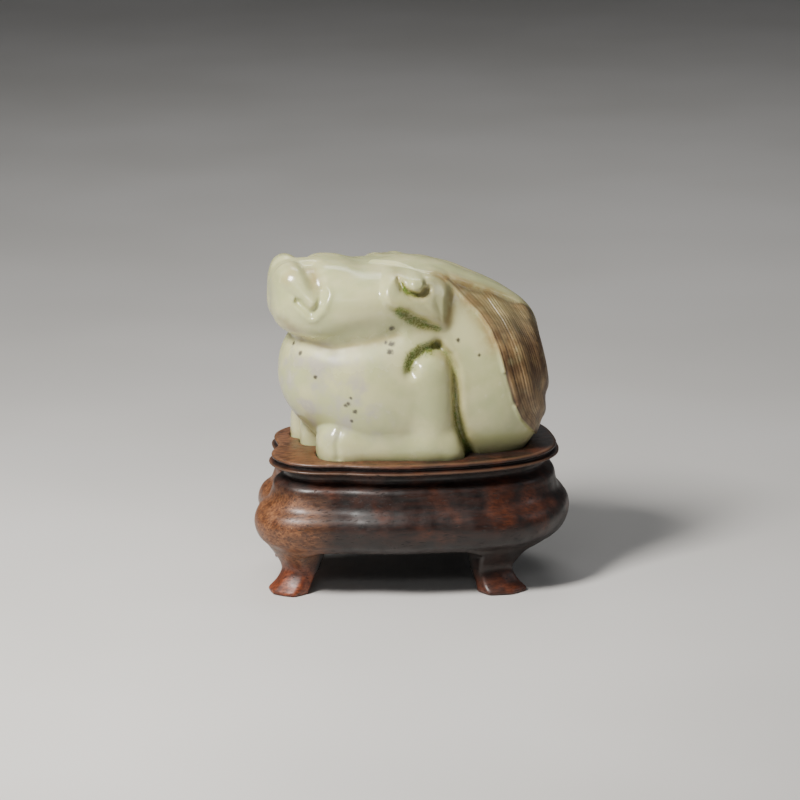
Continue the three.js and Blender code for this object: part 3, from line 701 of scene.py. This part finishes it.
def lion_shares(x, y, z):
    """Where the stone's russet skin, its clouds, its warm stains, the dirt in its creases and a painted
    shadow under the crest's edge lie
    """
    on_side = ease(SIDE_START, SIDE_FULL, np.abs(y))
    inside, share = lock_shares(x, y, z)
    crest_edge = crest_distance(x, y)
    off_crest = np.maximum(ease(-0.4, 0.6, crest_edge), 1 - crest_level(x, z))
    russet = ease(-0.3, 1.0, inside) * off_crest * (1 - 0.35 * ease(38, 60, z))

    def near(line, width):
        return band(line_distance(x, z, line)[0], 0, width) * on_side

    dirt = (0.5 + 0.25 * ease(30, 12, z)) * near(ARM_BACK_LINE, 1.5)
    for line, width, strength in DIRT_LINES:
        dirt = np.maximum(dirt, strength * near(line, width))
    along_crest = crest_level(x, z) * ease(0, 10, x)
    warm = 0.75 * band(crest_edge, 0.5, 2.8) * along_crest
    for line, width, strength in WARM_LINES:
        warm = np.maximum(warm, strength * near(line, width))
    # painted shadow: a dark line under the crest's edge, over the lock
    crest_edge_shadow = band(crest_edge, 0.7, 0.6) * along_crest
    crest_edge_shadow = crest_edge_shadow * ease(10, 20, x) * ease(-1, 1, inside)
    cloud = ease(-6, -22, x) * ease(48, 38, z) * ease(4, 16, z)
    dull = near(DULL_SHELF, 4)
    # the darkened hair strokes and slit share one mark with the painted shadow under the crest's edge
    strokes_and_shadow = np.maximum(stroke_groove(share) * russet, np.maximum(crest_edge_shadow, near(LOCK_SLIT, 0.6)))
    return dict(russet=russet, strokes_and_shadow=strokes_and_shadow, dirt=dirt, warm=warm, cloud=cloud, dull=dull)


# The stand, in millimetres from the table up
FOOT_HEIGHT = 10.4
APRON_HEIGHT = 14.4
WAIST_HEIGHT = 3.8
RIM_THICKNESS = 2.6
RECESS_DEPTH = 1.2
SEAT_PLATE_THICKNESS = 6.5
HEM_Z = FOOT_HEIGHT
WAIST_Z = HEM_Z + APRON_HEIGHT
RIM_UNDER_Z = WAIST_Z + WAIST_HEIGHT
RIM_TOP_Z = RIM_UNDER_Z + RIM_THICKNESS
SEAT_Z = RIM_TOP_Z - RECESS_DEPTH
HOLLOW_TOP_Z = SEAT_Z - SEAT_PLATE_THICKNESS

# Its plan
FIGURE_HALF_WIDTH = 19
RIM_MARGIN_AT_ENDS, RIM_MARGIN_AT_SIDES = 1.3, 3.2
RIM_HALF_LENGTH = FIGURE_LENGTH / 2 + RIM_MARGIN_AT_ENDS
RIM_HALF_WIDTH = FIGURE_HALF_WIDTH + RIM_MARGIN_AT_SIDES
LOBE_RADIUS = 10.5
LOBE_SPREAD = 7
FAR_LOBE_SETBACK = 2.6
LOBE_STEP = 2.6
LOBE_BLEND = 4
OVAL_HALF_LENGTH = RIM_HALF_LENGTH - LOBE_STEP
OVAL_CENTRE = RIM_HALF_LENGTH - OVAL_HALF_LENGTH
OVAL_POWER = 2.6

# Its profile, out of the rim's edge and back inside it
BULGE_OUT = 3
SHOULDER_IN = 0.5
WAIST_IN = 2.8
KNEE_OUT = 1.8
KNEE_HALF_WIDTH = 10.5
LOWER_FILLET_OUT = 0.6
GROOVE_IN = 0.7
FILLET_HEIGHT = 0.85
WALL_THICKNESS = 5
HOLLOW_TAPER = 4
TOE_WIDTH, ANKLE_WIDTH, FOOT_ROOT_WIDTH = 8.8, 8, 16
TOE_FLARE = 2.6
TOE_HOLLOW_OUT = 2.6
TOE_RIDGE = 1.2
ANKLE_IN = 1.3
FOOT_ANGLES = np.radians((-158, -50, 50, 147))
KNEE_TOP = HEM_Z + 0.28 * APRON_HEIGHT
KNEE_FOOT = 0.45 * FOOT_HEIGHT
TOE_TOP, TOE_LOW = 0.6 * FOOT_HEIGHT, 0.2 * FOOT_HEIGHT

# How softly its edges are rounded
TOP_EDGE = 0.35
HOLLOW_ROUNDING = 1.5
HOLLOW_EDGE = 0.6
ARCH_ROUNDING = 1.6
ARCH_EDGE = 0.7
SOCKET_ROUNDING = 0.2
SOCKET_EDGE = 0.25

# How far its hand-cut walls waver out and in
WAVER, WAVER_IN = 0.12, 0.05


def plan_distance(x, y):
    share_x = np.abs(x - OVAL_CENTRE) / OVAL_HALF_LENGTH + 1e-9
    share_y = np.abs(y) / RIM_HALF_WIDTH + 1e-9
    level = np.maximum(share_x**OVAL_POWER + share_y**OVAL_POWER, 1e-3) ** (1 / OVAL_POWER)
    slope = np.hypot(
        (share_x / level) ** (OVAL_POWER - 1) / OVAL_HALF_LENGTH,
        (share_y / level) ** (OVAL_POWER - 1) / RIM_HALF_WIDTH,
    )
    distance = (level - 1) / slope
    for setback, lobe_y in ((0, -LOBE_SPREAD), (FAR_LOBE_SETBACK, LOBE_SPREAD)):
        lobe_x = -RIM_HALF_LENGTH + LOBE_RADIUS + setback
        distance = soft_union(distance, np.hypot(x - lobe_x, y - lobe_y) - LOBE_RADIUS, LOBE_BLEND)
    return distance


def plan_reach(angle):
    near, far = 0.0, 2 * RIM_HALF_LENGTH
    for _ in range(40):
        middle = (near + far) / 2
        if plan_distance(middle * math.cos(angle), middle * math.sin(angle)) < 0:
            near = middle
        else:
            far = middle
    return near


def spline_through(points, steps):
    """A smooth line through points, with its ends doubled"""
    p = np.array([points[0], *points, points[-1]], float)
    t = np.linspace(0, 1, steps, endpoint=False)[:, None]
    pieces = []
    for a, b, c, d in zip(p, p[1:], p[2:], p[3:]):
        v0, v1 = (c - a) / 2, (d - b) / 2
        pieces.append((2 * b - 2 * c + v0 + v1) * t**3 + (3 * c - 3 * b - 2 * v0 - v1) * t**2 + v0 * t + b)
    return np.concatenate([*pieces, p[-1:]])


# The apron's profile: how far out, as a share of the bulge, at each share of its height
APRON_PROFILE = [(0.16, 0.7), (0.38, 1), (0.56, 0.84), (0.7, 0.24), (0.86, 0)]


def outer_profile():
    """The stand's outline as heights and offsets, from the toe up to the rim's top"""
    foot = spline_through(
        [
            (0, TOE_FLARE),
            (0.08 * FOOT_HEIGHT, TOE_FLARE),
            (0.24 * FOOT_HEIGHT, 0.3 * TOE_FLARE),
            (0.5 * FOOT_HEIGHT, -ANKLE_IN),
            (0.8 * FOOT_HEIGHT, -0.8 * ANKLE_IN),
            (HEM_Z, 0),
            *((HEM_Z + up * APRON_HEIGHT, out * BULGE_OUT) for up, out in APRON_PROFILE),
            (WAIST_Z, -SHOULDER_IN),
            (WAIST_Z + 0.45 * WAIST_HEIGHT, -WAIST_IN),
            (RIM_UNDER_Z, -0.8 * WAIST_IN),
        ],
        12,
    )
    rim = [
        (RIM_UNDER_Z + 0.2 * FILLET_HEIGHT, 0.2 * LOWER_FILLET_OUT),
        (RIM_UNDER_Z + 0.5 * FILLET_HEIGHT, LOWER_FILLET_OUT),
        (RIM_UNDER_Z + 0.9 * FILLET_HEIGHT, LOWER_FILLET_OUT),
        (RIM_UNDER_Z + 1.3 * FILLET_HEIGHT, -GROOVE_IN),
        (RIM_TOP_Z - 1.25 * FILLET_HEIGHT, -GROOVE_IN),
        (RIM_TOP_Z - 0.9 * FILLET_HEIGHT, 0),
        (RIM_TOP_Z - 0.35 * FILLET_HEIGHT, 0),
        (RIM_TOP_Z, -0.4 * FILLET_HEIGHT),
    ]
    return np.concatenate([foot, rim])


PROFILE = outer_profile()
# the tiny steps keep the heights apart where the profile is level
PROFILE_SLOPE = np.gradient(PROFILE[:, 1], PROFILE[:, 0] + 1e-6 * np.arange(len(PROFILE)))
FOOT_WIDTHS = spline_through(
    [
        (-1, TOE_WIDTH),
        (0.09 * FOOT_HEIGHT, TOE_WIDTH),
        (0.24 * FOOT_HEIGHT, 0.4 * TOE_WIDTH + 0.6 * ANKLE_WIDTH),
        (0.5 * FOOT_HEIGHT, ANKLE_WIDTH),
        (0.78 * FOOT_HEIGHT, 0.8 * ANKLE_WIDTH + 0.2 * FOOT_ROOT_WIDTH),
        (0.88 * FOOT_HEIGHT, 0.7 * ANKLE_WIDTH + 0.3 * FOOT_ROOT_WIDTH),
        (HEM_Z, FOOT_ROOT_WIDTH),
    ],
    8,
)
FOOT_REACHES = [plan_reach(angle) for angle in FOOT_ANGLES]

# The hollow's side: how far out it lies at each height
HOLLOW_HEIGHT = HOLLOW_TOP_Z - HEM_Z
HOLLOW_PROFILE = list(
    zip(
        (0.09 * FOOT_HEIGHT, TOE_HOLLOW_OUT - WALL_THICKNESS),
        (0.5 * FOOT_HEIGHT, -WALL_THICKNESS),
        (HEM_Z + 0.5 * HOLLOW_HEIGHT, -WALL_THICKNESS),
        (HEM_Z + 0.85 * HOLLOW_HEIGHT, -WALL_THICKNESS - 0.35 * HOLLOW_TAPER),
        (HOLLOW_TOP_Z, -WALL_THICKNESS - HOLLOW_TAPER),
    )
)


def foot_arcs(x, y):
    """Distance along the wall from the middle of the nearest foot"""
    angle = np.arctan2(y, x)
    arc = np.full(angle.shape, np.inf)
    for foot, reach in zip(FOOT_ANGLES, FOOT_REACHES):
        turn = np.abs(np.arctan2(np.sin(angle - foot), np.cos(angle - foot)))
        arc = np.minimum(arc, turn * reach)
    return arc


def stand_distance(x, y, z):
    """Millimetres outside the stand's surface; the lion's socket is cut apart from this"""
    plan = plan_distance(x, y)
    arc = foot_arcs(x, y)
    out = np.interp(z, PROFILE[:, 0], PROFILE[:, 1])
    steep = np.interp(z, PROFILE[:, 0], PROFILE_SLOPE)
    knee = KNEE_OUT * ease(WAIST_Z, KNEE_TOP, z) * ease(KNEE_FOOT, HEM_Z, z)
    outer = plan - out - knee * band(arc, 0, KNEE_HALF_WIDTH)
    from_ridge = np.minimum(2 * arc / TOE_WIDTH, 1.5)
    outer = outer + TOE_RIDGE * from_ridge * ease(TOE_TOP, TOE_LOW, z)
    outer = outer / np.sqrt(1 + np.minimum(steep**2, 4))
    body = soft_cut(outer, np.maximum(z - RIM_TOP_Z, -z), TOP_EDGE)
    hollow = soft_cut(plan - np.interp(z, *HOLLOW_PROFILE), z - HOLLOW_TOP_Z, HOLLOW_ROUNDING)
    body = soft_cut(body, -hollow, HOLLOW_EDGE)
    half_width = 0.5 * np.interp(z, FOOT_WIDTHS[:, 0], FOOT_WIDTHS[:, 1])
    return soft_cut(body, soft_union(arc - half_width, HEM_Z - z, ARCH_ROUNDING), ARCH_EDGE)


def make_stand():
    step, rim_step = STAND_STEP * QUICK_FACTOR, RIM_STEP * QUICK_FACTOR
    reach_x = RIM_HALF_LENGTH + BULGE_OUT + KNEE_OUT + 3 * step
    reach_y = RIM_HALF_WIDTH + BULGE_OUT + KNEE_OUT + 3 * step
    rim_low = RIM_UNDER_Z - 1.5
    rim_heights = np.arange(rim_low, RIM_TOP_Z + 0.8, rim_step)
    heights = np.concatenate([np.arange(-2 * step, rim_low, step), rim_heights])
    axes = [np.arange(-reach_x, reach_x, step), np.arange(-reach_y, reach_y, step), heights]
    x, y, z = np.meshgrid(*axes, indexing="ij", sparse=True)

    def socket(x, y, z):
        grown = lion_distance(x + FIGURE_FORWARD, y, np.maximum(z - SEAT_Z, 0), 0.0) - SEAT_CLEARANCE
        return soft_cut(grown, SEAT_Z - z, SOCKET_ROUNDING)

    def whole(x, y, z):
        body = stand_distance(x, y, z)
        top = z.ravel() > SEAT_Z - 2
        if z.ndim == 3:
            body[:, :, top] = soft_cut(body[:, :, top], -socket(x, y, z[:, :, top]), SOCKET_EDGE)
        else:
            body[top] = soft_cut(body[top], -socket(x[top], y[top], z[top]), SOCKET_EDGE)
        return body

    points, triangles = surface_nets(whole(x, y, z), axes)
    points = settle(relax(points, triangles, 1), whole, 3, 0.6 * step)

    # the seat and the soles stay true
    waver = np.array([noise.noise(Vector(p) * 0.14) + 0.4 * noise.noise(Vector(p) * 0.45) for p in points])
    plan = plan_distance(points[:, 0], points[:, 1])
    height = points[:, 2]
    free = ease(0.2, 1.5, height) * ease(RIM_TOP_Z + 0.3, RIM_TOP_Z - 1.2, height) * ease(-4, -2, plan)
    way = points[:, :2] / np.maximum(np.linalg.norm(points[:, :2], axis=1), 1)[:, None]
    points[:, :2] += (WAVER * waver * free)[:, None] * way - (WAVER_IN * free)[:, None] * way

    shares = stand_shares(*points.T)
    seated = fit_to_node(points, "wood_stand")
    print("stand", len(points), "corners", len(triangles), "triangles")
    add_piece("carved_wood_stand", seated, triangles, shares, "wood_stand", wood_material())


def stand_shares(x, y, z):
    """Where the wood is worn to red and rubbed at its edges, and where shade is painted dark: in the rim's
    groove, under the rim, inside the hollow and low on the apron
    """
    plan = plan_distance(x, y)
    feet = ease(9.5, 3, z) * 0.9
    golden = ease(-19, -31, x) * ease(WAIST_Z + 1, WAIST_Z - 4, z) * ease(4, 9, z)
    rim_top = ease(RIM_TOP_Z - 0.6, RIM_TOP_Z - 0.1, z) * ease(5, -30, x)
    golden = np.maximum(golden, 0.75 * rim_top)
    wear = np.maximum(feet * ease(26, -10, x), 0.35 * feet)
    edge = band(z, RIM_TOP_Z, 0.35) * band(plan, -0.3, 0.5)
    fillet = band(z, RIM_UNDER_Z + 0.75 * FILLET_HEIGHT, 0.3) * ease(-0.3, 0.4, plan)
    hem = band(z, HEM_Z, 0.6) * ease(-3, 0, plan) * 0.3
    groove = band(z, RIM_TOP_Z - 1.55 * FILLET_HEIGHT, 0.35) * ease(-2, -0.6, plan) * ease(0.5, -0.4, plan)
    waist = band(z, RIM_UNDER_Z - 0.6, 0.9) * ease(-3.6, -2.4, plan) * 0.5
    inside = ease(-3.2, -4.4, plan) * ease(HOLLOW_TOP_Z + 2, HOLLOW_TOP_Z, z)
    low = ease(HEM_Z + 7, HEM_Z, z) * ease(1.5, 6, z) * ease(-30, -12, x) * 0.75
    # painted shade: the rim's groove, the waist under the rim, the top of the hollow and the low apron
    # toward the rear are darkened
    shade = np.clip(0.8 * groove + waist + 0.9 * inside + low, 0, 1)
    return dict(wear=wear, golden=golden, edge=np.clip(edge + fillet + hem, 0, 1), shade=shade)


# The camera stands where the photograph's did
PHOTO_WIDTH = 800
PIXELS_PER_MM = 4.4
VIEW_AZIMUTH, VIEW_ELEVATION = -10, 15
VIEW_DISTANCE = 760
AIM_POINT = (-0.36, -5.5, 38)
AIM_PIXEL = (411, 416.5)
SENSOR_WIDTH = 36


def make_camera():
    a, e = math.radians(VIEW_AZIMUTH), math.radians(VIEW_ELEVATION)
    back = Vector((math.sin(a) * math.cos(e), -math.cos(a) * math.cos(e), math.sin(e)))
    right = Vector((math.cos(a), math.sin(a), 0))
    up = Vector((-math.sin(a) * math.sin(e), math.cos(a) * math.sin(e), math.cos(e)))
    centre = PHOTO_WIDTH / 2
    aim = Vector(AIM_POINT) - right * (AIM_PIXEL[0] - centre) / PIXELS_PER_MM
    aim += up * (AIM_PIXEL[1] - centre) / PIXELS_PER_MM
    data = bpy.data.cameras.new("camera")
    data.sensor_width = SENSOR_WIDTH
    data.lens = PIXELS_PER_MM * VIEW_DISTANCE * SENSOR_WIDTH / PHOTO_WIDTH
    data.clip_start, data.clip_end = 0.01, 10
    camera = bpy.data.objects.new("camera", data)
    camera.location = (aim + back * VIEW_DISTANCE) * MM
    camera.rotation_mode = "QUATERNION"
    camera.rotation_quaternion = (-back).to_track_quat("-Z", "Y")
    bpy.context.collection.objects.link(camera)
    bpy.context.scene.camera = camera


def make_light(name, azimuth, elevation, distance, size, power, tint=(1, 1, 1)):
    """A soft rectangular lamp that faces the carving"""
    a, e = math.radians(azimuth), math.radians(elevation)
    back = Vector((math.sin(a) * math.cos(e), -math.cos(a) * math.cos(e), math.sin(e)))
    data = bpy.data.lights.new(name, "AREA")
    data.shape = "RECTANGLE"
    data.size, data.size_y = size
    data.energy = power
    data.color = tint
    lamp = bpy.data.objects.new(name, data)
    lamp.location = Vector((0, 0, 0.045)) + back * distance
    lamp.rotation_mode = "QUATERNION"
    lamp.rotation_quaternion = (-back).to_track_quat("-Z", "Y")
    bpy.context.collection.objects.link(lamp)


def make_studio():
    """A pale floor that curves up behind, plain soft lamps and a dim pale surround"""
    half_width, front, bend, height, steps = 1.6, -1.2, 0.9, 1.4, 12
    line = [(front, 0.0), (bend, 0.0)]
    for i in range(1, steps + 1):
        turn = math.pi / 2 * i / steps
        line.append((bend + 0.5 * math.sin(turn), 0.5 - 0.5 * math.cos(turn)))
    line.append((bend + 0.5, height))
    corners = [(side * half_width, y, z) for y, z in line for side in (-1, 1)]
    faces = [(2 * i, 2 * i + 1, 2 * i + 3, 2 * i + 2) for i in range(len(line) - 1)]
    mesh = bpy.data.meshes.new("floor")
    mesh.from_pydata(corners, [], faces)
    mesh.polygons.foreach_set("use_smooth", [True] * len(faces))
    pale = Surface("pale floor")
    tone = pale.mix(pale.between(pale.noise(120, 2), 0.3, 0.7), srgb(206, 204, 200), srgb(214, 212, 209))
    pale.plug(tone, pale.shader.inputs["Base Color"])
    pale.shader.inputs["Roughness"].default_value = 0.8
    mesh.materials.append(pale.material)
    floor = bpy.data.objects.new("floor", mesh)
    bpy.context.collection.objects.link(floor)

    world = bpy.data.worlds.new("surround")
    world.use_nodes = True
    background = world.node_tree.nodes["Background"]
    background.inputs["Color"].default_value = (0.8, 0.83, 0.88, 1)
    background.inputs["Strength"].default_value = 0.085
    bpy.context.scene.world = world
    make_light("key", -56, 48, 0.34, (0.08, 0.11), 2.3, (1, 0.97, 0.93))
    make_light("front", -16, 34, 0.8, (0.4, 0.12), 0.36)
    make_light("side", 80, 32, 0.6, (0.12, 0.2), 0.22, (0.93, 0.96, 1))
    make_light("back", 165, 50, 0.7, (0.4, 0.2), 1.0)


make_camera()
make_lion()
make_stand()
make_studio()
